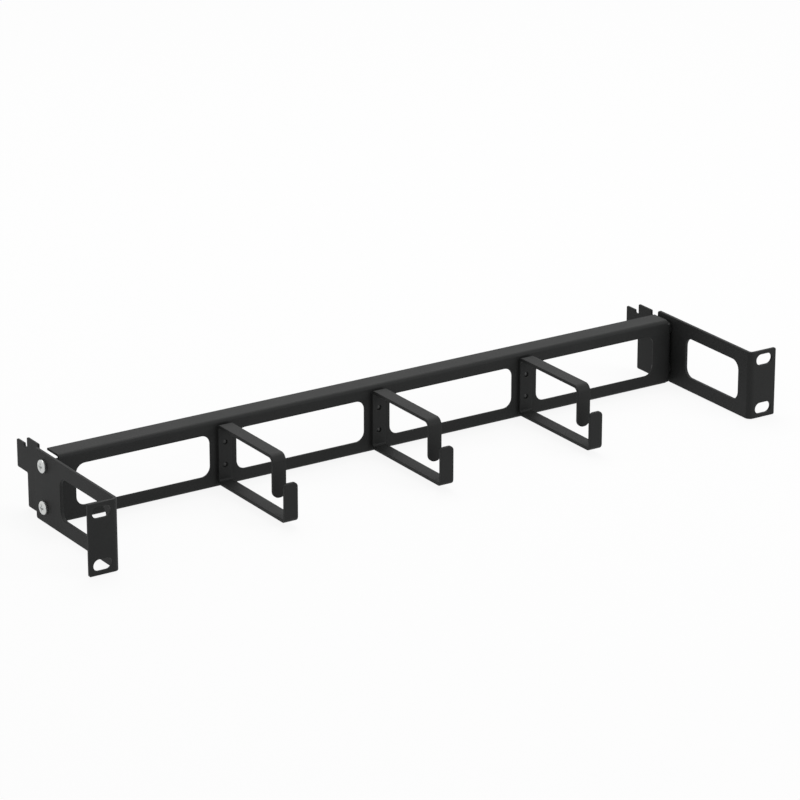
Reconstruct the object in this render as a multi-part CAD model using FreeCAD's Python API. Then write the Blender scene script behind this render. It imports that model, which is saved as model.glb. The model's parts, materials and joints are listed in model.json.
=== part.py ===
import FreeCAD, Part
import math
import os

# Horizontal cable manager for a 19-inch rack, one rack unit high.
# A folded steel bar carries three open cable rings and is set back from the rack's
# front rails by two folded side brackets.
#
# Frame, in millimetres: the origin is the centre of the four rack slots, on the plane
# where the ears seat against the rails. +X runs to the right along the bar, +Y runs
# back into the rack and +Z is up.

# Rack interface
panel_width = 482.6
panel_height = 43.66
slot_edge_distance = 8.75
slot_end_distance = 5.955
slot_length = 12.0
slot_height = 7.1
ear_corner_radius = 1.0

# Side brackets: an ear and a side plate folded from one sheet
bracket_sheet = 2.0
bracket_bend_radius = 1.5
ear_width = 17.8
bracket_overlap = 17.4
bracket_corner_radius = 1.5
bracket_window_front_band = 11.9
bracket_window_rear_band = 29.9
bracket_window_edge_band = 8.93
bracket_window_radius = 6.0

# Bar: web, top and bottom flanges and end flanges folded from one sheet
bar_sheet = 1.5
bar_bend_radius = 1.0
bar_setback = 76.6
bar_edge_setback = 0.68
bar_flange_depth = 14.4
bar_flange_end_gap = 1.4
bend_relief = 0.3
post_width = 17.9
window_end_margin = 13.85
window_edge_band = 8.15
window_radius = 6.0

# End flanges: each reaches back past its bracket and rises into a notched hook
end_flange_reach = 34.0
end_flange_corner_radius = 1.0
hook_start = 20.1
hook_front_length = 13.6
hook_tip_length = 9.1
hook_rise = 0.85
hook_tip_drop = 4.7
hook_tip_depth = 17.3
notch_width = 3.6
notch_depth = 2.0
hook_corner_radius = 0.8

# Cable rings: each is one bent strip, open where its two legs pass each other
ring_count = 3
ring_strip = 2.1
ring_strip_width = 9.0
ring_edge_setback = 2.25
ring_front_setback = 0.2
ring_mouth_setback = 12.8
ring_base_bend_radius = 1.5
ring_upper_bend_radius = 2.6
ring_lower_bend_radius = 1.2
ring_upper_leg_length = 26.5
ring_lower_leg_length = 24.5
ring_upper_tip_flat = 0.6
ring_lower_tip_radius = 2.8

# Ring screws: two for each ring, driven from behind the web
ring_screw_spacing = 14.4
ring_screw_diameter = 3.0
ring_screw_head_rim = 1.3
ring_screw_head_height = 2.2
ring_screw_head_radius = 0.99
ring_screw_cross_span = 3.14
ring_screw_cross_width = 0.73
ring_screw_cross_depth = 1.1
ring_screw_recess = 0.7
ring_tapped_clearance = 0.05
ring_web_clearance = 0.2

# Bracket screws and the rivet nuts that they enter
bracket_screw_spacing = 25.6
bracket_screw_rise = 0.9
bracket_screw_setback = 6.6
bracket_screw_diameter = 4.0
bracket_screw_head_rim = 2.1
bracket_screw_head_height = 2.4
bracket_screw_head_radius = 1.08
bracket_screw_cross_span = 4.59
bracket_screw_cross_width = 1.07
bracket_screw_cross_depth = 1.2
bracket_screw_length = 9.0
bracket_screw_clearance = 0.25
nut_thread_clearance = 0.05
nut_wall = 0.95
nut_collar_rim = 1.5
nut_collar_thickness = 1.6
nut_barrel_clearance = 0.05
nut_bulge_rim = 1.1
nut_bulge_length = 2.4
nut_length = 10.0

# How far each cutting tool runs past the metal
cut_margin = 1.0

# Places that follow from the sizes above
slot_x = panel_width / 2 - slot_edge_distance
slot_z = panel_height / 2 - slot_end_distance
ear_front_y = -bracket_sheet
bracket_outer_x = panel_width / 2 - ear_width
bracket_inner_x = bracket_outer_x - bracket_sheet
end_flange_outer_x = bracket_inner_x - nut_collar_thickness
end_flange_inner_x = end_flange_outer_x - bar_sheet
bar_outer_bend = bar_bend_radius + bar_sheet
bar_half_height = panel_height / 2 - bar_edge_setback
web_front_y = bar_setback
web_rear_y = web_front_y + bar_sheet
bracket_rear_y = web_front_y + bracket_overlap
post_widths = ring_count * post_width
window_width = (2 * (end_flange_outer_x - window_end_margin) - post_widths) / (ring_count + 1)
window_height = 2 * (bar_half_height - window_edge_band)
window_pitch = window_width + post_width
ring_half_height = bar_half_height - ring_edge_setback
ring_base_front_y = web_front_y - ring_strip
bracket_screw_y = web_front_y + bracket_screw_setback
nut_barrel_diameter = bracket_screw_diameter + 2 * (nut_thread_clearance + nut_wall)

X_AXIS = FreeCAD.Vector(1, 0, 0)
Y_AXIS = FreeCAD.Vector(0, 1, 0)
Z_AXIS = FreeCAD.Vector(0, 0, 1)


def vector(x, y, z):
    return FreeCAD.Vector(x, y, z)


# Shapes that every piece is made from


def rounded_wire(points, radii):
    """A closed wire through the points, with an arc of the given radius at each corner."""
    outline = []
    starts = []
    ends = []
    for index, corner in enumerate(points):
        radius = radii[index]
        before = (points[index - 1] - corner).normalize()
        after = (points[(index + 1) % len(points)] - corner).normalize()
        half_angle = before.getAngle(after) / 2
        tangent_length = radius / math.tan(half_angle)
        starts.append(corner + before * tangent_length)
        ends.append(corner + after * tangent_length)
        if radius > 0:
            middle_distance = radius / math.sin(half_angle) - radius
            middle = corner + (before + after).normalize() * middle_distance
            outline.append(Part.Arc(starts[-1], middle, ends[-1]).toShape())
    for index, here in enumerate(ends):
        there = starts[(index + 1) % len(points)]
        if not here.isEqual(there, Part.Precision.confusion()):
            outline.append(Part.makeLine(here, there))
    return Part.Wire(Part.__sortEdges__(outline))


def plate(points, radii, depth):
    """A flat piece: the rounded outline through the points, carried along depth."""
    return Part.Face(rounded_wire(points, radii)).extrude(depth)


def rounded_block(center, size_across, size_up, across, up, radius, depth):
    """A block with a rounded rectangular outline, carried both ways from its center."""
    half_across = across * (size_across / 2)
    half_up = up * (size_up / 2)
    start = center - depth / 2
    corners = [
        start - half_across - half_up,
        start + half_across - half_up,
        start + half_across + half_up,
        start - half_across + half_up,
    ]
    return plate(corners, [radius] * len(corners), depth)


def bent_strip(outer_points, outer_radii, thickness, inward, depth):
    """A strip whose outer side follows the points, with square bends turning one way.

    inward turns a direction of travel towards the strip's inner side. The inner side lies
    one thickness inside, and each inner bend is one thickness tighter than the outer one.
    """
    runs = []
    for index in range(len(outer_points) - 1):
        runs.append((outer_points[index + 1] - outer_points[index]).normalize())
    inner_points = [outer_points[0] + inward(runs[0]) * thickness]
    for index in range(1, len(outer_points) - 1):
        step = inward(runs[index - 1]) + inward(runs[index])
        inner_points.append(outer_points[index] + step * thickness)
    inner_points.append(outer_points[-1] + inward(runs[-1]) * thickness)
    inner_radii = [radius - thickness for radius in outer_radii]
    points = list(outer_points) + inner_points[::-1]
    radii = [0, *outer_radii, 0, 0, *inner_radii[::-1], 0]
    return plate(points, radii, depth)


def drill(solid, diameter, start, direction, depth):
    """The solid with a round hole that runs from cut_margin outside the start point."""
    tool_start = start - direction * cut_margin
    tool_length = depth + 2 * cut_margin
    return solid.cut(Part.makeCylinder(diameter / 2, tool_length, tool_start, direction))


def corner_edges(solid, along, coordinate, value):
    """The straight edges along a direction whose middle has the given coordinate."""
    found = []
    for edge in solid.Edges:
        first = edge.Vertexes[0].Point
        last = edge.Vertexes[-1].Point
        run = last - first
        if first.isEqual(last, Part.Precision.confusion()):
            continue
        if run.cross(along).Length > Part.Precision.confusion():
            continue
        middle = (first + last) / 2
        if abs(getattr(middle, coordinate) - value) < Part.Precision.confusion():
            found.append(edge)
    return found


# Places that repeat


def ring_centers():
    """The middle of each post, where a ring is fixed."""
    return [(index - (ring_count - 1) / 2) * window_pitch for index in range(ring_count)]


def window_centers():
    """The middle of each bar window: one on either side of every post."""
    return [(index - ring_count / 2) * window_pitch for index in range(ring_count + 1)]


def ring_screw_heights():
    return (-ring_screw_spacing / 2, ring_screw_spacing / 2)


def bracket_screw_heights():
    half_spacing = bracket_screw_spacing / 2
    return (bracket_screw_rise - half_spacing, bracket_screw_rise + half_spacing)


# Side brackets


def make_bracket(side):
    """One side bracket, for side -1 (left) or +1 (right)."""
    half_height = panel_height / 2
    ear_edge_x = side * panel_width / 2
    bracket = bent_strip(
        [
            vector(ear_edge_x, ear_front_y, -half_height),
            vector(side * bracket_inner_x, ear_front_y, -half_height),
            vector(side * bracket_inner_x, bracket_rear_y, -half_height),
        ],
        [bracket_bend_radius + bracket_sheet],
        bracket_sheet,
        lambda run: vector(abs(run.y) * side, abs(run.x), 0),
        Z_AXIS * panel_height,
    )
    window_front_y = ear_front_y + bracket_window_front_band
    window_rear_y = bracket_rear_y - bracket_window_rear_band
    middle_x = side * (bracket_inner_x + bracket_outer_x) / 2
    tool_depth = bracket_sheet + 2 * cut_margin
    bracket = bracket.cut(
        rounded_block(
            vector(middle_x, (window_front_y + window_rear_y) / 2, 0),
            window_rear_y - window_front_y, panel_height - 2 * bracket_window_edge_band,
            Y_AXIS, Z_AXIS, bracket_window_radius, X_AXIS * tool_depth,
        )
    )
    for z in (-slot_z, slot_z):
        bracket = bracket.cut(
            rounded_block(
                vector(side * slot_x, ear_front_y + bracket_sheet / 2, z),
                slot_length, slot_height, X_AXIS, Z_AXIS, slot_height / 2, Y_AXIS * tool_depth,
            )
        )
    for z in bracket_screw_heights():
        bracket = drill(
            bracket, bracket_screw_diameter + 2 * bracket_screw_clearance,
            vector(side * bracket_outer_x, bracket_screw_y, z), X_AXIS * -side, bracket_sheet,
        )
    rear_corners = corner_edges(bracket, X_AXIS, "y", bracket_rear_y)
    bracket = bracket.makeFillet(bracket_corner_radius, rear_corners)
    ear_corners = corner_edges(bracket, Y_AXIS, "x", ear_edge_x)
    return bracket.makeFillet(ear_corner_radius, ear_corners)


# Bar


def end_flange_outline():
    """The side view of the bar's ends, from the web back to the notched hook."""
    web_z = bar_half_height - bar_outer_bend - bend_relief
    bend_end_y = web_front_y + bar_outer_bend
    lower_rear_y = web_front_y + end_flange_reach
    hook_front_y = web_front_y + hook_start
    notch_front_y = hook_front_y + hook_front_length
    notch_rear_y = notch_front_y + notch_width
    hook_rear_y = notch_rear_y + hook_tip_length
    hook_top_z = bar_half_height + hook_rise
    hook_tip_z = hook_top_z - hook_tip_drop
    hook_floor_z = hook_tip_z - hook_tip_depth
    notch_floor_z = hook_tip_z - notch_depth
    outline = [
        (web_front_y - cut_margin, -web_z, 0),
        (bend_end_y, -web_z, 0),
        (bend_end_y, -bar_half_height, 0),
        (lower_rear_y, -bar_half_height, end_flange_corner_radius),
        (lower_rear_y, hook_floor_z, end_flange_corner_radius),
        (hook_rear_y, hook_floor_z, end_flange_corner_radius),
        (hook_rear_y, hook_tip_z, hook_corner_radius),
        (notch_rear_y, hook_tip_z, hook_corner_radius),
        (notch_rear_y, notch_floor_z, hook_corner_radius),
        (notch_front_y, notch_floor_z, hook_corner_radius),
        (notch_front_y, hook_top_z, hook_corner_radius),
        (hook_front_y, hook_top_z, hook_corner_radius),
        (hook_front_y, web_z, end_flange_corner_radius),
        (web_front_y - cut_margin, web_z, 0),
    ]
    points = [vector(-end_flange_outer_x, y, z) for y, z, _ in outline]
    radii = [radius for _, _, radius in outline]
    return plate(points, radii, X_AXIS * (2 * end_flange_outer_x)), hook_rear_y, hook_top_z


def make_channel():
    """The web with its top and bottom flanges."""
    half_x = end_flange_inner_x - bar_flange_end_gap
    flange_rear_y = web_front_y + bar_flange_depth
    return bent_strip(
        [
            vector(-half_x, flange_rear_y, bar_half_height),
            vector(-half_x, web_front_y, bar_half_height),
            vector(-half_x, web_front_y, -bar_half_height),
            vector(-half_x, flange_rear_y, -bar_half_height),
        ],
        [bar_outer_bend, bar_outer_bend],
        bar_sheet,
        lambda run: vector(0, -run.z, run.y),
        X_AXIS * (2 * half_x),
    )


def make_ends():
    """The web with the two end flanges folded back from it, cut to their side view."""
    outline, rear_y, top_z = end_flange_outline()
    tall_z = top_z + cut_margin
    blank = bent_strip(
        [
            vector(-end_flange_outer_x, rear_y + cut_margin, -tall_z),
            vector(-end_flange_outer_x, web_front_y, -tall_z),
            vector(end_flange_outer_x, web_front_y, -tall_z),
            vector(end_flange_outer_x, rear_y + cut_margin, -tall_z),
        ],
        [bar_outer_bend, bar_outer_bend],
        bar_sheet,
        lambda run: vector(-run.y, run.x, 0),
        Z_AXIS * (2 * tall_z),
    )
    return blank.common(outline)


def make_main_bar():
    """The bar: the channel and its folded ends, which share one web."""
    bar = make_channel().fuse(make_ends()).removeSplitter()
    web_middle_y = (web_front_y + web_rear_y) / 2
    for x in window_centers():
        bar = bar.cut(
            rounded_block(
                vector(x, web_middle_y, 0), window_width, window_height, X_AXIS, Z_AXIS,
                window_radius, Y_AXIS * (bar_sheet + 2 * cut_margin),
            )
        )
    for x in ring_centers():
        for z in ring_screw_heights():
            bar = drill(
                bar, ring_screw_diameter + 2 * ring_web_clearance,
                vector(x, web_front_y, z), Y_AXIS, bar_sheet,
            )
    for side in (-1, 1):
        for z in bracket_screw_heights():
            bar = drill(
                bar, nut_barrel_diameter + 2 * nut_barrel_clearance,
                vector(side * end_flange_outer_x, bracket_screw_y, z), X_AXIS * -side, bar_sheet,
            )
    return bar


# Cable rings


def make_ring(x):
    """One cable ring: base on the post, two arms forward and two legs that overlap."""
    left_x = x - ring_strip_width / 2
    upper_front_y = ring_front_setback + ring_mouth_setback
    upper_tip_z = ring_half_height - ring_upper_leg_length
    lower_tip_z = ring_lower_leg_length - ring_half_height
    ring = bent_strip(
        [
            vector(left_x, upper_front_y, upper_tip_z),
            vector(left_x, upper_front_y, ring_half_height),
            vector(left_x, web_front_y, ring_half_height),
            vector(left_x, web_front_y, -ring_half_height),
            vector(left_x, ring_front_setback, -ring_half_height),
            vector(left_x, ring_front_setback, lower_tip_z),
        ],
        [
            ring_upper_bend_radius + ring_strip,
            ring_base_bend_radius + ring_strip,
            ring_base_bend_radius + ring_strip,
            ring_lower_bend_radius + ring_strip,
        ],
        ring_strip,
        lambda run: vector(0, run.z, -run.y),
        X_AXIS * ring_strip_width,
    )
    for z in ring_screw_heights():
        ring = drill(
            ring, ring_screw_diameter + 2 * ring_tapped_clearance,
            vector(x, ring_base_front_y, z), Y_AXIS, ring_strip,
        )
    upper_tip_radius = (ring_strip_width - ring_upper_tip_flat) / 2
    ring = ring.makeFillet(upper_tip_radius, corner_edges(ring, Y_AXIS, "z", upper_tip_z))
    return ring.makeFillet(ring_lower_tip_radius, corner_edges(ring, Y_AXIS, "z", lower_tip_z))


# Screws and rivet nuts


def cross_recess(span, width, depth, top, outward):
    """The cross in a screw head, sunk from the middle of its top."""
    across = outward.cross(Z_AXIS)
    arms = []
    for long_axis, short_axis in ((Z_AXIS, across), (across, Z_AXIS)):
        arms.append(
            rounded_block(top, span, width, long_axis, short_axis, 0, outward * (2 * depth))
        )
    return arms[0].fuse(arms[1])


def make_screw(diameter, length, head_rim, head_height, head_radius, cross, seat, outward):
    """A pan-head screw. Its head stands outward from the seat and its shank runs inward."""
    head = Part.makeCylinder(diameter / 2 + head_rim, head_height, seat, outward)
    top = seat + outward * head_height
    rims = []
    for edge in head.Edges:
        if edge.Closed and edge.CenterOfMass.isEqual(top, Part.Precision.confusion()):
            rims.append(edge)
    head = head.makeFillet(head_radius, rims)
    head = head.cut(cross_recess(*cross, top, outward))
    return head.fuse(Part.makeCylinder(diameter / 2, length, seat, outward * -1))


def make_ring_screw(x, z):
    length = bar_sheet + ring_strip - ring_screw_recess
    cross = (ring_screw_cross_span, ring_screw_cross_width, ring_screw_cross_depth)
    return make_screw(
        ring_screw_diameter, length, ring_screw_head_rim, ring_screw_head_height,
        ring_screw_head_radius, cross, vector(x, web_rear_y, z), Y_AXIS,
    )


def make_bracket_screw(side, z):
    cross = (bracket_screw_cross_span, bracket_screw_cross_width, bracket_screw_cross_depth)
    return make_screw(
        bracket_screw_diameter, bracket_screw_length, bracket_screw_head_rim,
        bracket_screw_head_height, bracket_screw_head_radius, cross,
        vector(side * bracket_outer_x, bracket_screw_y, z), X_AXIS * side,
    )


def make_rivet_nut(side, z):
    """A rivet nut clenched in an end flange, with its collar against the bracket."""
    face = vector(side * bracket_inner_x, bracket_screw_y, z)
    inward = X_AXIS * -side
    barrel_radius = nut_barrel_diameter / 2
    bulge_face = face + inward * (nut_collar_thickness + bar_sheet)
    barrel = Part.makeCylinder(barrel_radius, nut_length, face, inward)
    collar_radius = barrel_radius + nut_collar_rim
    collar = Part.makeCylinder(collar_radius, nut_collar_thickness, face, inward)
    bulge_radius = barrel_radius + nut_bulge_rim
    bulge = Part.makeCylinder(bulge_radius, nut_bulge_length, bulge_face, inward)
    nut = collar.fuse(barrel).fuse(bulge).removeSplitter()
    bore_diameter = bracket_screw_diameter + 2 * nut_thread_clearance
    return drill(nut, bore_diameter, face, inward, nut_length)


def make_parts():
    parts = {
        "main_bar": make_main_bar(),
        "left_bracket": make_bracket(-1),
        "right_bracket": make_bracket(1),
    }
    for number, x in enumerate(ring_centers(), start=1):
        parts[f"cable_ring_{number}"] = make_ring(x)
        for level, z in zip(("lower", "upper"), ring_screw_heights()):
            parts[f"ring_screw_{number}_{level}"] = make_ring_screw(x, z)
    for side_name, side in (("left", -1), ("right", 1)):
        for level, z in zip(("lower", "upper"), bracket_screw_heights()):
            parts[f"{side_name}_bracket_screw_{level}"] = make_bracket_screw(side, z)
            parts[f"{side_name}_rivet_nut_{level}"] = make_rivet_nut(side, z)
    return parts


os.makedirs("parts", exist_ok=True)
for name, shape in make_parts().items():
    solid = shape.Solids[0]
    box = solid.BoundBox
    print(
        f"{name}: {len(shape.Solids)} solid, valid {solid.isValid()}, {solid.Volume:.1f} mm3, "
        f"x {box.XMin:.2f}..{box.XMax:.2f} y {box.YMin:.2f}..{box.YMax:.2f} "
        f"z {box.ZMin:.2f}..{box.ZMax:.2f}"
    )
    solid.exportStep(f"parts/{name}.step")
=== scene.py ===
# %% [markdown]
# # A horizontal cable manager, dressed for a product picture
#
# The object is a rack accessory one unit high: a folded black steel bar, three open
# steel rings in front of it, and a bracket at each end that bolts to the rack. The solid
# shapes are already made, so this lesson only dresses them: soft coated edges, real
# screws and rivet nuts, three finishes, light and a camera.
#
# All lengths are in metres. The frame is the one of the solids: +X runs to the right
# along the bar, +Y runs back into the rack and +Z is up.

import json
import math

import bmesh
import bpy
import numpy as np
from mathutils import Matrix, Vector


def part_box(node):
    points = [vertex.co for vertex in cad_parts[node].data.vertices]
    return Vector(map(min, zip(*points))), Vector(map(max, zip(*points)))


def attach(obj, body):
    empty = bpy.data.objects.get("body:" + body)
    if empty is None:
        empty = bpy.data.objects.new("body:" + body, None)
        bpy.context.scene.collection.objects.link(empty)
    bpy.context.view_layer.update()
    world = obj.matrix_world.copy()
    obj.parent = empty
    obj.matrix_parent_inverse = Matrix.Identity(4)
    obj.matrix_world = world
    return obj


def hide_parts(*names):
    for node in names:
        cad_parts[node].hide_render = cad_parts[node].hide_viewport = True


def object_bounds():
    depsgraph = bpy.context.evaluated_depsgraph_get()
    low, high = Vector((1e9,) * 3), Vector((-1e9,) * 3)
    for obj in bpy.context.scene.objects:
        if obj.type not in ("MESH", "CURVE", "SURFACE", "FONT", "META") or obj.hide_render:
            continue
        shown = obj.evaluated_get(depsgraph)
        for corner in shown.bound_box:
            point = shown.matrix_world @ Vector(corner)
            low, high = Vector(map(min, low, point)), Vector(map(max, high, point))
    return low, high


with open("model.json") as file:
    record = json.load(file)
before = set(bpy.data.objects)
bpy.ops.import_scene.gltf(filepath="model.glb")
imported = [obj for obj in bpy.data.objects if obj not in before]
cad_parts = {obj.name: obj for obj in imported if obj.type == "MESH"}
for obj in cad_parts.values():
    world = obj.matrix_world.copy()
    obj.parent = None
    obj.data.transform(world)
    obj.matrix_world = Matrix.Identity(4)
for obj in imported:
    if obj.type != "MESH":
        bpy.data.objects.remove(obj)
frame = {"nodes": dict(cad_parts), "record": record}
solid_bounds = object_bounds()
MM = 0.001
print("solid nodes:", len(frame["nodes"]))
print("solid size in mm:", [round((b - a) / MM, 2) for a, b in zip(*solid_bounds)])

# %% [markdown]
# ## Sheet steel with a coat on it
#
# Sheet metal leaves the punch with a sharp edge. Powder coat flows while it is baked, so
# every edge ends up with a radius of a few tenths of a millimetre that catches the light.
# Three ways could give that edge: model it in the solid, fake it with a shading trick, or
# bevel a copy of the mesh. The copy is used here: the solid stays exact for collision,
# and the edge is real geometry that also shows in close views.
#
# A solid's mesh is loose triangles, so the copy is first merged at its doubles, and its
# flat faces are joined, because a bevel needs whole faces on both sides of an edge.
#
# A face with a hole in it can't be one polygon, so seams run from the hole to the outline.
# Seams left over from the triangles lie at a slant, and the bevel then drags their ends
# along and folds slivers over. So the surface is first cut square, through the middle of
# every row of holes and windows, and those cuts are the only seams that stay.


# %% A coated copy of a sheet steel solid
COAT_EDGE = 0.32 * MM
SHARP_CORNER = math.radians(38)
SAME_PLANE = math.radians(0.4)
ring_nodes = sorted(name for name in frame["nodes"] if name.startswith("cable_ring_"))


def middle(name, axis):
    """The middle of an opening, or of a solid, along one axis."""
    if name in frame["nodes"]:
        low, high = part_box(name)
    else:
        openings = frame["record"]["physics"]["openings"]
        low, high = next(o["box_m"] for o in openings if o["name"] == name)
    return 0.5 * (low[axis] + high[axis])


def square_cuts(node):
    """The planes, as axis and place, that pass through the middles of a sheet's holes."""
    screw_row = (1, middle("left_bracket_screw_upper", 1))
    if node == "main_bar":
        windows = ("far_left", "inner_left", "inner_right", "far_right")
        across = [(0, middle(f"bar_window_{where}", 0)) for where in windows]
        across += [(0, middle(ring, 0)) for ring in ring_nodes]
        return [*across, screw_row]
    if node in ring_nodes:
        return [(0, middle(node, 0))]
    slots = next(m for m in frame["record"]["mounts"] if m["name"] == "rack_slots")
    side = -0.5 if node.startswith("left") else 0.5
    return [
        screw_row,
        (1, middle(f"{node}_window", 1)),
        (0, side * slots["dims"]["spacing_x_mm"] * MM),
    ]


def cut_square(work, cuts):
    """Cut a surface along the planes and mark the cuts as seams."""
    for axis, place in cuts:
        normal = Vector((0.0, 0.0, 0.0))
        normal[axis] = 1.0
        whole = [*work.verts, *work.edges, *work.faces]
        cut = bmesh.ops.bisect_plane(
            work, geom=whole, dist=1e-7, plane_co=place * normal, plane_no=normal
        )
        for part in cut["geom_cut"]:
            if isinstance(part, bmesh.types.BMEdge):
                part.seam = True


def coated_copy(node, edge=COAT_EDGE):
    """A copy of the solid's surface whose sharp edges are rounded.

    Points that coincide are merged, faces that lie in one plane are joined, and every
    edge whose two faces turn by more than SHARP_CORNER gets a round of the given width.
    """
    mesh = frame["nodes"][node].data.copy()
    mesh.name = f"{node}_coated"
    work = bmesh.new()
    work.from_mesh(mesh)
    bmesh.ops.remove_doubles(work, verts=work.verts, dist=1e-6)
    bmesh.ops.recalc_face_normals(work, faces=work.faces)
    cut_square(work, square_cuts(node))
    bmesh.ops.dissolve_limit(
        work,
        angle_limit=SAME_PLANE,
        verts=work.verts,
        edges=work.edges,
        delimit={"SEAM"},
    )
    work.to_mesh(mesh)
    work.free()
    mesh.materials.clear()
    mesh.shade_smooth()
    piece = bpy.data.objects.new(f"{node}_coated", mesh)
    bpy.context.scene.collection.objects.link(piece)
    bevel = piece.modifiers.new("soft edge", "BEVEL")
    bevel.width = edge
    bevel.segments = 2
    bevel.limit_method = "ANGLE"
    bevel.angle_limit = SHARP_CORNER
    bevel.use_clamp_overlap = False
    bevel.miter_outer = "MITER_ARC"
    normals = piece.modifiers.new("even shading", "WEIGHTED_NORMAL")
    normals.weight = 60
    normals.keep_sharp = True
    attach(piece, "root")
    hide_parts(node)
    return piece


sheet_nodes = ["main_bar", "left_bracket", "right_bracket", *ring_nodes]
sheet_pieces = {node: coated_copy(node) for node in sheet_nodes}
for node, piece in sheet_pieces.items():
    print(node, "faces after the square cuts:", len(piece.data.polygons))

# %% [markdown]
# ## Turned pieces: one grid for each screw and nut
#
# A screw is almost a surface of revolution. It departs from one in two places: the cross
# that is struck into the head, and the thread that winds round the shank. Cutting those
# with booleans would leave ragged faces. Instead the whole screw is one grid of stations
# along its profile and angles round its axis, and both details are written as small
# changes of height or radius on that grid.


# %% From a grid to a closed mesh
SHARP_CREASE = math.radians(50)


def across_and_up(outward):
    """Three axes of a turned piece: across, up and outward, as rows of an array."""
    outward = np.asarray(outward, float)
    up = np.array([0.0, 0.0, 1.0])
    return np.stack([np.cross(up, outward), up, outward])


def grid_faces(stations, angles, wrap_stations=False):
    """Quads between neighbouring stations and angles. The angles wrap round."""
    last = stations if wrap_stations else stations - 1
    k, j = np.meshgrid(np.arange(last), np.arange(angles), indexing="ij")
    k_next, j_next = (k + 1) % stations, (j + 1) % angles
    here, below = k * angles, k_next * angles
    corners = (here + j, below + j, below + j_next, here + j_next)
    return np.stack([c.ravel() for c in corners], axis=1)


def turned_mesh(name, radius, height, angle, origin, outward, closed_loop=False):
    """A mesh from radius, height and angle arrays of the shape (stations, angles).

    A point lies at the origin, plus across times radius times the cosine of its angle,
    plus up times radius times the sine, plus outward times height. The profile runs from
    the top of the piece outwards and down. An open profile is closed by one point on the
    axis at each end.
    """
    axes = across_and_up(outward)
    local = np.stack([radius * np.cos(angle), radius * np.sin(angle), height], axis=-1)
    points = local.reshape(-1, 3) @ axes + np.asarray(origin, float)
    stations, angles = radius.shape
    quads = grid_faces(stations, angles, closed_loop)
    mesh = bpy.data.meshes.new(name)
    if closed_loop:
        faces = quads.tolist()
    else:
        top = points[:angles].mean(axis=0)
        tip = points[-angles:].mean(axis=0)
        points = np.vstack([points, top, tip])
        j = np.arange(angles)
        j_next = (j + 1) % angles
        first_ring = np.stack([np.full(angles, stations * angles), j, j_next], axis=1)
        base = (stations - 1) * angles
        tip_index = np.full(angles, stations * angles + 1)
        last_ring = np.stack([base + j, tip_index, base + j_next], axis=1)
        faces = quads.tolist() + first_ring.tolist() + last_ring.tolist()
    mesh.from_pydata(points.tolist(), [], faces)
    mesh.validate()
    mesh.shade_smooth()
    mesh.set_sharp_from_angle(angle=SHARP_CREASE)
    return mesh


def turned_piece(node, mesh):
    """Puts a turned mesh in the scene in the place of its solid."""
    piece = bpy.data.objects.new(f"{node}_turned", mesh)
    bpy.context.scene.collection.objects.link(piece)
    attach(piece, "root")
    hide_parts(node)
    return piece


# %% [markdown]
# ## Pan-head screws
#
# Small machine screws are cold-headed: a punch strikes the low dome and the cross in one
# blow, and the thread is rolled on afterwards. So the cross has soft, leaning walls and a
# deeper middle, and the thread fades out under the head.


# %% The head, the struck cross and the rolled thread
def smooth_step(x):
    """0 below 0, 1 above 1, and an S-shaped rise in between."""
    x = np.clip(x, 0.0, 1.0)
    return x * x * (3.0 - 2.0 * x)


def struck_cross(x, y, span, width, wall):
    """How deep the cross is at x, y, from 0 outside to 1 in its arms.

    Each arm is a box of the given span and width whose walls lean over a width of wall.
    """

    def arm(along, across):
        """1 inside one arm and 0 outside it."""
        inside_width = smooth_step((width / 2 - np.abs(across)) / wall + 0.5)
        inside_span = smooth_step((span / 2 - np.abs(along)) / (1.8 * wall) + 0.5)
        return inside_width * inside_span

    floor = 1.0 - 0.45 * np.clip(np.hypot(x, y) / (span / 2), 0, 1) ** 2
    return np.maximum(arm(x, y), arm(y, x)) * floor


def rolled_thread(height, angle, pitch, start, end):
    """How far the thread's groove goes in, from 0 at its crest to 1 at its root.

    The groove follows a helix: it depends on the height divided by the pitch plus the
    share of a turn. It fades out over one pitch at the start and at the end.
    """
    turn = (-height / pitch + angle / (2 * math.pi)) % 1.0
    groove = np.clip(1.35 * (1.0 - np.abs(2 * turn - 1)) - 0.18, 0, 1)
    fade = smooth_step((start - height) / pitch) * smooth_step((height - end) / pitch)
    return groove * fade


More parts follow.
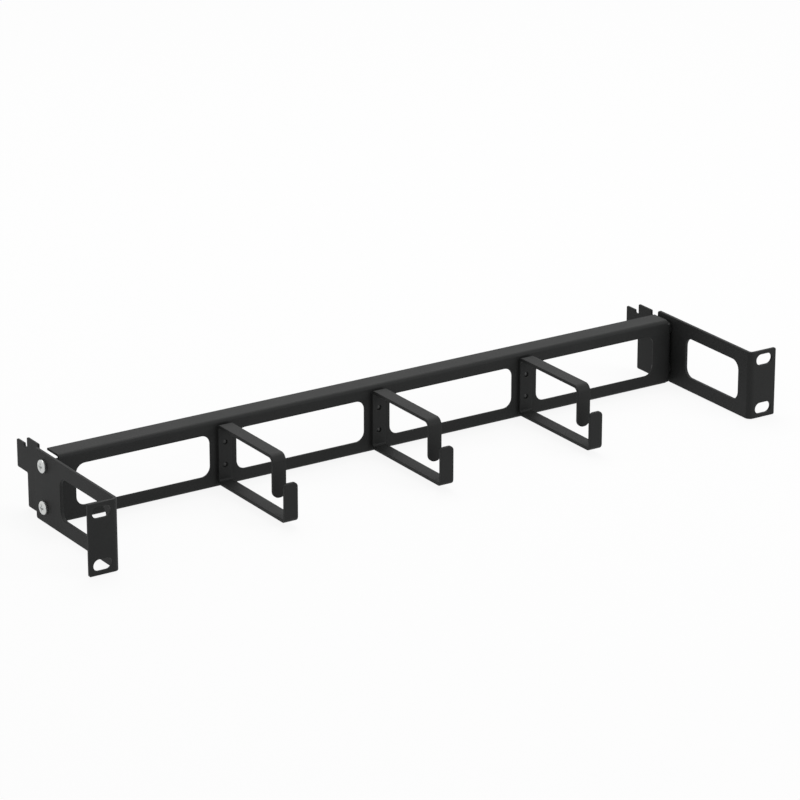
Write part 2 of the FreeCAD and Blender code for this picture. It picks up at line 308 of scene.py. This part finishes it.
def screw_mesh(name, size, seat, outward):
    """A pan-head screw as one grid. Its seat is the plane under the head.

    The profile runs over the crowned top, round the rim, under the head and down the
    threaded shank to its chamfered tip. size holds the lengths in millimetres.
    """
    head_r, head_h = size["head"] / 2, size["head_height"]
    rim, shank_r, length = size["rim"], size["shank"] / 2, size["length"]
    crown = 0.12
    flat_r = head_r - rim
    top_r = np.linspace(0.04, flat_r, 44)
    top_h = head_h - crown * (top_r / flat_r) ** 2
    turn = np.linspace(0, math.pi / 2, 9)[1:]
    rim_r = flat_r + rim * np.sin(turn)
    rim_h = head_h - crown - rim + rim * np.cos(turn)
    under_r = np.array([head_r, head_r - 0.05, head_r - 0.15, (head_r + shank_r) / 2, shank_r])
    under_h = np.array([0.15, 0.04, 0.0, 0.0, 0.0])
    steps = int(length / size["pitch"] * 12)
    shank_h = np.linspace(-0.05, -length + 0.35, steps)
    tip_r = shank_r - np.array([0.16, 0.34])
    profile_r = np.concatenate([top_r, rim_r, under_r, np.full(steps, shank_r), tip_r])
    profile_h = np.concatenate([top_h, rim_h, under_h, shank_h, [-length + 0.18, -length]])
    angles = 96
    angle = np.broadcast_to(np.arange(angles) * 2 * math.pi / angles, (len(profile_r), angles))
    radius = np.repeat(profile_r[:, None], angles, axis=1)
    height = np.repeat(profile_h[:, None], angles, axis=1)
    x, y = radius * np.cos(angle), radius * np.sin(angle)
    on_head = height > head_h - crown - rim
    cross = struck_cross(x, y, size["cross_span"], size["cross_width"], 0.16)
    height = height - np.where(on_head, cross * size["cross_depth"], 0.0)
    on_shank = (profile_h < -0.04)[:, None]
    groove = rolled_thread(height, angle, size["pitch"], -0.1, -length + 0.5)
    radius = radius - np.where(on_shank, groove * 0.55 * size["pitch"], 0.0)
    return turned_mesh(name, radius * MM, height * MM, angle, seat, outward)


# %% [markdown]
# Two screws hold each bracket and two hold each ring. A screw's place comes from the box
# of its solid: the axis runs through the middle of the box, and the seat lies one head
# height in from the end that points outwards.


# %% Four bracket screws and six ring screws
BRACKET_SCREW = {
    "head": 8.2, "head_height": 2.4, "rim": 1.08, "shank": 4.0, "length": 9.0,
    "pitch": 0.7, "cross_span": 4.59, "cross_width": 1.07, "cross_depth": 1.2,
}
RING_SCREW = {
    "head": 5.6, "head_height": 2.2, "rim": 0.99, "shank": 3.0, "length": 2.9,
    "pitch": 0.5, "cross_span": 3.14, "cross_width": 0.73, "cross_depth": 1.1,
}


def seat_of(node, size, outward):
    """The point on the screw's axis under its head."""
    low, high = (np.array(corner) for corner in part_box(node))
    outward = np.asarray(outward, float)
    middle = (low + high) / 2
    half = np.abs(outward) @ (high - low) / 2
    return middle + outward * (half - size["head_height"] * MM)


screw_pieces = {}
for node in sorted(frame["nodes"]):
    if "_bracket_screw_" in node:
        size, outward = BRACKET_SCREW, (-1, 0, 0) if node.startswith("left") else (1, 0, 0)
        slot = "zinc_plate"
    elif node.startswith("ring_screw_"):
        size, outward, slot = RING_SCREW, (0, 1, 0), "black_zinc_plate"
    else:
        continue
    mesh = screw_mesh(f"{node}_turned", size, seat_of(node, size, outward), outward)
    screw_pieces[node] = turned_piece(node, mesh)
print("screws:", len(screw_pieces))
print("faces of each kind:", {len(piece.data.polygons) for piece in screw_pieces.values()})

# %% [markdown]
# ## Rivet nuts
#
# A thin flange can't hold a thread, so a rivet nut is set in it: a tool pulls its thin
# barrel until it folds into a bulge behind the sheet. The bulge is a rolled, rounded
# fold and not a stepped washer, so its profile is half an ellipse. The far end keeps its
# full wall, because the thread is there.


# %% The set rivet nut
def rounded_step(radius, start, end, edge, count=5):
    """Profile points of a band from start to end at a radius, with rounded corners."""
    turn = np.linspace(0, math.pi / 2, count)
    first_r = radius - edge + edge * np.sin(turn)
    first_c = start + edge - edge * np.cos(turn)
    last_c = start + end - first_c[::-1]
    return np.concatenate([first_r, first_r[::-1]]), np.concatenate([first_c, last_c])


def rivet_nut_mesh(name, face, inward):
    """A rivet nut as one closed grid: the profile runs along the outside and back
    through the bore. Depth is counted inwards from the face that meets the bracket.
    """
    collar_r, collar_c = rounded_step(4.5, 0.0, 1.6, 0.25)
    fold = np.linspace(0, math.pi, 19)
    bulge_r = 3.0 + 1.1 * np.sin(fold)
    bulge_c = 3.1 + 1.2 * (1 - np.cos(fold))
    barrel_c = np.linspace(5.7, 9.6, 14)
    barrel_r = np.full(14, 3.0)
    end_r, end_c = np.array([2.96, 2.8, 2.35, 2.12]), np.array([9.85, 10.0, 10.0, 9.9])
    bore_c = np.linspace(9.7, 0.3, 150)
    bore_r = np.full(150, 2.05)
    mouth_r, mouth_c = np.array([2.15, 2.35]), np.array([0.1, 0.0])
    neck_r, neck_c = np.full(4, 3.0), np.linspace(1.6, 3.05, 4)
    profile_r = np.concatenate([collar_r, neck_r, bulge_r, barrel_r, end_r, bore_r, mouth_r])
    profile_c = np.concatenate([collar_c, neck_c, bulge_c, barrel_c, end_c, bore_c, mouth_c])
    angles = 96
    angle = np.broadcast_to(np.arange(angles) * 2 * math.pi / angles, (len(profile_r), angles))
    radius = np.repeat(profile_r[:, None], angles, axis=1)
    depth = np.repeat(profile_c[:, None], angles, axis=1)
    first_bore = len(profile_r) - len(mouth_r) - len(bore_r)
    in_bore = np.zeros(len(profile_r), bool)
    in_bore[first_bore:first_bore + len(bore_r)] = True
    groove = rolled_thread(-depth, angle, 0.7, -0.5, -9.5)
    radius = radius + np.where(in_bore[:, None], groove * 0.22, 0.0)
    knurled = (depth > 6.1) & (depth < 9.3) & ~in_bore[:, None]
    radius = radius - np.where(knurled, 0.05 * np.abs(np.sin(12 * angle)), 0.0)
    outward = -np.asarray(inward, float)
    return turned_mesh(name, radius * MM, -depth * MM, angle, face, outward, True)


nut_pieces = {}
for node in sorted(name for name in frame["nodes"] if "_rivet_nut_" in name):
    low, high = (np.array(corner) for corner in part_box(node))
    inward = np.array([1.0, 0, 0]) if node.startswith("left") else np.array([-1.0, 0, 0])
    face = (low + high) / 2 - inward * (high - low)[0] / 2
    nut_mesh = rivet_nut_mesh(f"{node}_turned", face, inward)
    nut_pieces[node] = turned_piece(node, nut_mesh)
print("rivet nuts:", len(nut_pieces))

# %% [markdown]
# ## Effects that the finishes share
#
# Powder grain, worn edges and settled dust are effects, not finishes, so each is a node
# group with named inputs and outputs. A group only puts out numbers and masks. The
# shader itself stays in each material, where its fixed numbers are set.


# %% Helpers for node trees
def add_node(tree, kind, **values):
    """A node of a kind, with its settings or unlinked inputs set by name."""
    node = tree.nodes.new(kind)
    for key, value in values.items():
        if hasattr(node, key):
            setattr(node, key, value)
        else:
            node.inputs[key.replace("_", " ")].default_value = value
    return node


def math_node(tree, operation, a, b=None, clamp=False):
    """One arithmetic step. a and b are numbers or sockets."""
    node = tree.nodes.new("ShaderNodeMath")
    node.operation = operation
    node.use_clamp = clamp
    for index, value in enumerate((a, b)):
        if isinstance(value, bpy.types.NodeSocket):
            tree.links.new(value, node.inputs[index])
        elif value is not None:
            node.inputs[index].default_value = value
    return node.outputs[0]


def new_group(name, inputs, outputs):
    """An empty node group. inputs and outputs are (name, socket type, default)."""
    group = bpy.data.node_groups.new(name, "ShaderNodeTree")
    for label, kind, default in inputs:
        socket = group.interface.new_socket(label, in_out="INPUT", socket_type=kind)
        if default is not None:
            socket.default_value = default
    for label, kind in outputs:
        group.interface.new_socket(label, in_out="OUTPUT", socket_type=kind)
    return group, group.nodes.new("NodeGroupInput"), group.nodes.new("NodeGroupOutput")


# %% [markdown]
# Powder coat is sprayed as dry grains that melt together. What stays is a fine orange
# peel, with lumps about half a millimetre wide, and slower waves where the film is
# thicker. Two noises of those two sizes give the height, and their sum also shifts the
# tone and the gloss a little.


# %% Group: powder grain
def make_powder_grain():
    """Fine grain, the powder's peel and wide patches, from a place and a grain size."""
    group, inside, outside = new_group(
        "powder grain",
        [("Place", "NodeSocketVector", None), ("Grain Size mm", "NodeSocketFloat", 0.55)],
        [(label, "NodeSocketFloat") for label in ("Height", "Tone", "Patches")],
    )
    per_metre = math_node(group, "DIVIDE", 1000.0, inside.outputs["Grain Size mm"])
    fine = add_node(group, "ShaderNodeTexNoise", Detail=2.0, Roughness=0.55)
    group.links.new(inside.outputs["Place"], fine.inputs["Vector"])
    group.links.new(per_metre, fine.inputs["Scale"])
    peel = add_node(group, "ShaderNodeTexVoronoi", feature="SMOOTH_F1", Smoothness=0.9)
    group.links.new(inside.outputs["Place"], peel.inputs["Vector"])
    group.links.new(math_node(group, "MULTIPLY", per_metre, 0.55), peel.inputs["Scale"])
    waves = add_node(group, "ShaderNodeTexNoise", Scale=42.0, Detail=3.0, Roughness=0.6)
    group.links.new(inside.outputs["Place"], waves.inputs["Vector"])
    lumps = math_node(group, "SUBTRACT", 1.0, peel.outputs["Distance"])
    height = math_node(
        group, "ADD", math_node(group, "MULTIPLY", fine.outputs["Fac"], 0.6),
        math_node(group, "MULTIPLY", lumps, 0.4),
    )
    group.links.new(height, outside.inputs["Height"])
    group.links.new(fine.outputs["Fac"], outside.inputs["Tone"])
    group.links.new(waves.outputs["Fac"], outside.inputs["Patches"])
    return group


powder_grain = make_powder_grain()
print("group:", powder_grain.name)

# %% [markdown]
# A worn edge is where the surface turns within a short way. The Bevel node gives the
# normal that the surface would have if its edges were rounder, and where that differs
# from the real normal there is an edge. A noise breaks the line up, because handling
# rubs some stretches more than others.


# %% Group: edge wear
def make_edge_wear():
    """A mask of rubbed edges, from how far a rounder normal leans from the real one."""
    group, inside, outside = new_group(
        "edge wear",
        [
            ("Place", "NodeSocketVector", None),
            ("Reach mm", "NodeSocketFloat", 0.6),
            ("Amount", "NodeSocketFloat", 0.5),
        ],
        [("Wear", "NodeSocketFloat")],
    )
    rounder = add_node(group, "ShaderNodeBevel", samples=6)
    reach = math_node(group, "MULTIPLY", inside.outputs["Reach mm"], 0.001)
    group.links.new(reach, rounder.inputs["Radius"])
    real = add_node(group, "ShaderNodeNewGeometry")
    alike = add_node(group, "ShaderNodeVectorMath", operation="DOT_PRODUCT")
    group.links.new(rounder.outputs["Normal"], alike.inputs[0])
    group.links.new(real.outputs["Normal"], alike.inputs[1])
    edge = math_node(group, "SUBTRACT", 1.0, alike.outputs["Value"])
    rubbed = add_node(group, "ShaderNodeTexNoise", Scale=160.0, Detail=4.0, Roughness=0.65)
    group.links.new(inside.outputs["Place"], rubbed.inputs["Vector"])
    broken = add_node(group, "ShaderNodeMapRange", From_Min=0.38, From_Max=0.68)
    group.links.new(rubbed.outputs["Fac"], broken.inputs["Value"])
    strength = math_node(group, "MULTIPLY", edge, 5.0, True)
    wear = math_node(group, "MULTIPLY", strength, broken.outputs["Result"])
    wear = math_node(group, "MULTIPLY", wear, inside.outputs["Amount"], True)
    group.links.new(wear, outside.inputs["Wear"])
    return group


edge_wear = make_edge_wear()
print("group:", edge_wear.name)

# %% [markdown]
# Dust settles on what faces up. The mask is the upward part of the normal, broken up by
# a noise of a few millimetres and thinned by a finer one.


# %% Group: settled dust
def make_settled_dust():
    """A mask of dust on what faces up."""
    group, inside, outside = new_group(
        "settled dust",
        [("Place", "NodeSocketVector", None), ("Amount", "NodeSocketFloat", 0.5)],
        [("Dust", "NodeSocketFloat")],
    )
    real = add_node(group, "ShaderNodeNewGeometry")
    parts = add_node(group, "ShaderNodeSeparateXYZ")
    group.links.new(real.outputs["Normal"], parts.inputs[0])
    upward = add_node(group, "ShaderNodeMapRange", From_Min=0.55, From_Max=0.98)
    group.links.new(parts.outputs["Z"], upward.inputs["Value"])
    cloud = add_node(group, "ShaderNodeTexNoise", Scale=95.0, Detail=5.0, Roughness=0.62)
    group.links.new(inside.outputs["Place"], cloud.inputs["Vector"])
    specks = add_node(group, "ShaderNodeTexNoise", Scale=2600.0, Detail=1.0)
    group.links.new(inside.outputs["Place"], specks.inputs["Vector"])
    patches = add_node(group, "ShaderNodeMapRange", From_Min=0.35, From_Max=0.75)
    group.links.new(cloud.outputs["Fac"], patches.inputs["Value"])
    dust = math_node(group, "MULTIPLY", patches.outputs["Result"], specks.outputs["Fac"])
    dust = math_node(group, "MULTIPLY", dust, upward.outputs["Result"])
    dust = math_node(group, "MULTIPLY", dust, inside.outputs["Amount"], True)
    group.links.new(dust, outside.inputs["Dust"])
    return group


settled_dust = make_settled_dust()
print("group:", settled_dust.name)

# %% [markdown]
# ## Finish 1: black satin powder coat
#
# The coat is a plastic film full of carbon black. Almost no light comes back out of it,
# so what is seen is mostly the soft reflection of the room on its surface. A coloured
# clear layer could be stacked on top, but a powder coat is one layer: one dark base, a
# medium roughness and a weak, even specular level say the same with less.


# %% The powder coat material
def place_in_group(tree, group, place, **values):
    """One use of a shared effect in a material, with its own values."""
    node = tree.nodes.new("ShaderNodeGroup")
    node.node_tree = group
    tree.links.new(place, node.inputs["Place"])
    for key, value in values.items():
        node.inputs[key.replace("_", " ")].default_value = value
    return node


def mix_color(tree, factor, first, second):
    """first where the factor is 0 and second where it is 1."""
    node = tree.nodes.new("ShaderNodeMix")
    node.data_type = "RGBA"
    tree.links.new(factor, node.inputs["Factor"])
    for socket, value in ((node.inputs["A"], first), (node.inputs["B"], second)):
        if isinstance(value, bpy.types.NodeSocket):
            tree.links.new(value, socket)
        else:
            socket.default_value = (*value, 1.0)
    return node.outputs["Result"]


def new_material(name):
    """An empty material with a Principled shader. Returns it, its tree and its shader."""
    material = bpy.data.materials.new(name)
    material.use_nodes = True
    tree = material.node_tree
    return material, tree, tree.nodes["Principled BSDF"]


def make_powder_coat():
    """Black powder coat: a dark film with grain, rubbed edges and a little dust."""
    material, tree, shader = new_material("black_powder_coat")
    place = tree.nodes.new("ShaderNodeTexCoord").outputs["Object"]
    grain = place_in_group(tree, powder_grain, place, Grain_Size_mm=0.55)
    wear = place_in_group(tree, edge_wear, place, Reach_mm=0.7, Amount=0.45)
    dust = place_in_group(tree, settled_dust, place, Amount=0.08)
    film = mix_color(
        tree, grain.outputs["Patches"], (0.0135, 0.0141, 0.0140), (0.0225, 0.0232, 0.0229)
    )
    rubbed = mix_color(tree, wear.outputs["Wear"], film, (0.055, 0.056, 0.056))
    dusty = mix_color(tree, dust.outputs["Dust"], rubbed, (0.16, 0.155, 0.145))
    tree.links.new(dusty, shader.inputs["Base Color"])
    patchy = math_node(tree, "MULTIPLY", grain.outputs["Patches"], 0.16)
    polished = math_node(tree, "MULTIPLY", wear.outputs["Wear"], 0.12)
    dulled = math_node(tree, "MULTIPLY", dust.outputs["Dust"], 0.4)
    rough = math_node(tree, "ADD", 0.48, patchy)
    rough = math_node(tree, "SUBTRACT", rough, polished)
    rough = math_node(tree, "ADD", rough, dulled)
    tree.links.new(rough, shader.inputs["Roughness"])
    bump = add_node(tree, "ShaderNodeBump", Strength=0.35, Distance=0.00006)
    tree.links.new(grain.outputs["Height"], bump.inputs["Height"])
    tree.links.new(bump.outputs["Normal"], shader.inputs["Normal"])
    shader.inputs["IOR"].default_value = 1.5
    shader.inputs["Specular IOR Level"].default_value = 0.14
    return material


powder_coat = make_powder_coat()
for piece in sheet_pieces.values():
    piece.data.materials.append(powder_coat)
print("powder coated pieces:", len(sheet_pieces))

# %% [markdown]
# ## Finish 2: bright zinc plate
#
# Zinc plate is a thin bright metal with a faint blue and straw-coloured cast from its
# passivation. It is rougher than chrome and it dulls in patches. The metal itself is a
# plain metallic shader, and the patches move its colour and roughness.


# %% The zinc plate material
def make_zinc_plate():
    """Bright zinc plate: a metal with a faint cast that dulls in patches."""
    material, tree, shader = new_material("zinc_plate")
    place = tree.nodes.new("ShaderNodeTexCoord").outputs["Object"]
    grain = place_in_group(tree, powder_grain, place, Grain_Size_mm=0.22)
    wear = place_in_group(tree, edge_wear, place, Reach_mm=0.25, Amount=0.6)
    cast = add_node(tree, "ShaderNodeTexNoise", Scale=420.0, Detail=2.0)
    tree.links.new(place, cast.inputs["Vector"])
    plate = mix_color(tree, cast.outputs["Fac"], (0.58, 0.63, 0.67), (0.68, 0.66, 0.58))
    dulled = mix_color(tree, grain.outputs["Tone"], plate, (0.56, 0.57, 0.57))
    bright = mix_color(tree, wear.outputs["Wear"], dulled, (0.86, 0.87, 0.87))
    tree.links.new(bright, shader.inputs["Base Color"])
    patchy = math_node(tree, "MULTIPLY", grain.outputs["Tone"], 0.22)
    rough = math_node(tree, "ADD", 0.2, patchy)
    tree.links.new(rough, shader.inputs["Roughness"])
    bump = add_node(tree, "ShaderNodeBump", Strength=0.25, Distance=0.00003)
    tree.links.new(grain.outputs["Height"], bump.inputs["Height"])
    tree.links.new(bump.outputs["Normal"], shader.inputs["Normal"])
    shader.inputs["Metallic"].default_value = 1.0
    return material


zinc_plate = make_zinc_plate()
bright_screws = [piece for node, piece in screw_pieces.items() if "_bracket_screw_" in node]
for piece in bright_screws:
    piece.data.materials.append(zinc_plate)
print("bright zinc pieces:", len(bright_screws))

# %% [markdown]
# ## Finish 3: black zinc plate
#
# The ring screws and the rivet nuts sit where the black sheet meets, so they are plated
# black. Black passivation is a dark film on the zinc: it is no mirror any more, but it is
# glossier than powder, and bare zinc grins through on the crests of the thread.


# %% The black zinc material
def make_black_zinc():
    """Black zinc plate: a dark, glossier film that wears through on its crests."""
    material, tree, shader = new_material("black_zinc_plate")
    place = tree.nodes.new("ShaderNodeTexCoord").outputs["Object"]
    grain = place_in_group(tree, powder_grain, place, Grain_Size_mm=0.18)
    wear = place_in_group(tree, edge_wear, place, Reach_mm=0.2, Amount=0.35)
    film = mix_color(
        tree, grain.outputs["Tone"], (0.0080, 0.0085, 0.0090), (0.0150, 0.0155, 0.0150)
    )
    rubbed = mix_color(tree, wear.outputs["Wear"], film, (0.12, 0.12, 0.115))
    tree.links.new(rubbed, shader.inputs["Base Color"])
    patchy = math_node(tree, "MULTIPLY", grain.outputs["Tone"], 0.2)
    rough = math_node(tree, "ADD", 0.3, patchy)
    tree.links.new(rough, shader.inputs["Roughness"])
    bump = add_node(tree, "ShaderNodeBump", Strength=0.25, Distance=0.00003)
    tree.links.new(grain.outputs["Height"], bump.inputs["Height"])
    tree.links.new(bump.outputs["Normal"], shader.inputs["Normal"])
    return material


black_zinc = make_black_zinc()
dark_pieces = [piece for piece in screw_pieces.values() if piece not in bright_screws]
dark_pieces += list(nut_pieces.values())
for piece in dark_pieces:
    piece.data.materials.append(black_zinc)
print("black zinc pieces:", len(dark_pieces))

# %% [markdown]
# ## The white room
#
# The world looks white to the camera and in reflections, and it gives a plainer, weaker
# light to everything else, so black steel keeps its depth. The floor is pale and takes a
# faint shadow: most of its white is its own, for the camera and for reflections alike,
# and the rest is lit.


# %% World and floor
ROOM_FILL = 0.55
OWN_WHITE = 0.9
FLOOR_GAP = 0.5 * MM
FLOOR_REACH = 30.0


def seen_directly(tree):
    """1 for rays from the camera and for those that metal or glass sends on, else 0."""
    ray = tree.nodes.new("ShaderNodeLightPath").outputs
    mirror = math_node(tree, "MAXIMUM", ray["Is Glossy Ray"], ray["Is Transmission Ray"])
    return math_node(tree, "MAXIMUM", ray["Is Camera Ray"], mirror)


def make_world(fill):
    """A world that looks white and lights the object with a strength of fill."""
    world = bpy.data.worlds.new("white room")
    bpy.context.scene.world = world
    world.use_nodes = True
    tree = world.node_tree
    tree.nodes.clear()
    seen = tree.nodes.new("ShaderNodeBackground")
    seen.inputs["Color"].default_value = (1, 1, 1, 1)
    seen.inputs["Strength"].default_value = 1.0
    lit = tree.nodes.new("ShaderNodeBackground")
    lit.inputs["Color"].default_value = (1, 1, 1, 1)
    lit.inputs["Strength"].default_value = fill
    mix = tree.nodes.new("ShaderNodeMixShader")
    tree.links.new(seen_directly(tree), mix.inputs[0])
    tree.links.new(lit.outputs[0], mix.inputs[1])
    tree.links.new(seen.outputs[0], mix.inputs[2])
    out = tree.nodes.new("ShaderNodeOutputWorld")
    tree.links.new(mix.outputs[0], out.inputs[0])
    return world


def make_floor(height, reach):
    """A square floor at a height, with its middle under the object."""
    sides = np.array([-reach, reach])
    x, y = np.meshgrid(sides, sides)
    points = np.stack([x.ravel(), y.ravel(), np.full(4, height)], axis=1)
    mesh = bpy.data.meshes.new("floor")
    mesh.from_pydata(points.tolist(), [], [[0, 1, 3, 2]])
    floor = bpy.data.objects.new("floor", mesh)
    bpy.context.scene.collection.objects.link(floor)
    material = bpy.data.materials.new("pale_floor")
    material.use_nodes = True
    tree = material.node_tree
    tree.nodes.clear()
    paint = tree.nodes.new("ShaderNodeBsdfDiffuse")
    paint.inputs["Color"].default_value = (0.82, 0.82, 0.82, 1)
    own = tree.nodes.new("ShaderNodeEmission")
    own.inputs["Color"].default_value = (1, 1, 1, 1)
    own.inputs["Strength"].default_value = 1.0
    mix = tree.nodes.new("ShaderNodeMixShader")
    share = math_node(tree, "MULTIPLY", seen_directly(tree), OWN_WHITE)
    tree.links.new(share, mix.inputs[0])
    tree.links.new(paint.outputs[0], mix.inputs[1])
    tree.links.new(own.outputs[0], mix.inputs[2])
    out = tree.nodes.new("ShaderNodeOutputMaterial")
    tree.links.new(mix.outputs[0], out.inputs[0])
    mesh.materials.append(material)
    return floor


make_world(ROOM_FILL)
floor_height = solid_bounds[0].z - FLOOR_GAP
floor = make_floor(floor_height, FLOOR_REACH)
print("floor height in mm:", round(floor_height / MM, 2))

# %% [markdown]
# ## Studio light
#
# Large, soft lamps at a plain level: one over the object and a little behind, so the top
# flange is brighter than the web, and one in front on the right.


# %% Two soft lamps
def soft_lamp(name, place, size, watts):
    """A square area lamp that points at the middle of the bar."""
    data = bpy.data.lights.new(name, "AREA")
    data.shape = "SQUARE"
    data.size = size
    data.energy = watts
    lamp = bpy.data.objects.new(name, data)
    lamp.location = place
    lamp.rotation_euler = (-Vector(place)).to_track_quat("-Z", "Y").to_euler()
    bpy.context.scene.collection.objects.link(lamp)
    return lamp


soft_lamp("overhead", (0.35, 0.6, 1.6), 1.2, 16.0)
soft_lamp("front right", (1.2, -1.4, 0.9), 1.0, 10.0)

# %% [markdown]
# ## The camera
#
# It stands 2.4 metres away in front, to the left and above, with a long lens, so the far
# end of the bar is only a little smaller than the near one.

# %% Camera at the front left, above the bar
CAMERA_PLACE = (-1.236287, -1.858140, 0.857970)
CAMERA_AZIMUTH = math.radians(32.919)
CAMERA_DROP = math.radians(20.24)
LENS_MM = 183.00717
SENSOR_MM = 36.0

camera_data = bpy.data.cameras.new("camera")
camera_data.sensor_width = SENSOR_MM
camera_data.lens = LENS_MM
camera_data.clip_end = 100.0
camera = bpy.data.objects.new("camera", camera_data)
look = Vector((
    math.sin(CAMERA_AZIMUTH) * math.cos(CAMERA_DROP),
    math.cos(CAMERA_AZIMUTH) * math.cos(CAMERA_DROP),
    -math.sin(CAMERA_DROP),
))
right = Vector((math.cos(CAMERA_AZIMUTH), -math.sin(CAMERA_AZIMUTH), 0.0))
above = right.cross(look)
turned = Matrix((right, above, -look)).transposed().to_4x4()
camera.matrix_world = Matrix.Translation(CAMERA_PLACE) @ turned
bpy.context.scene.collection.objects.link(camera)
bpy.context.scene.camera = camera
bpy.context.scene.view_settings.view_transform = "Standard"
print("lens in mm:", round(LENS_MM, 1))
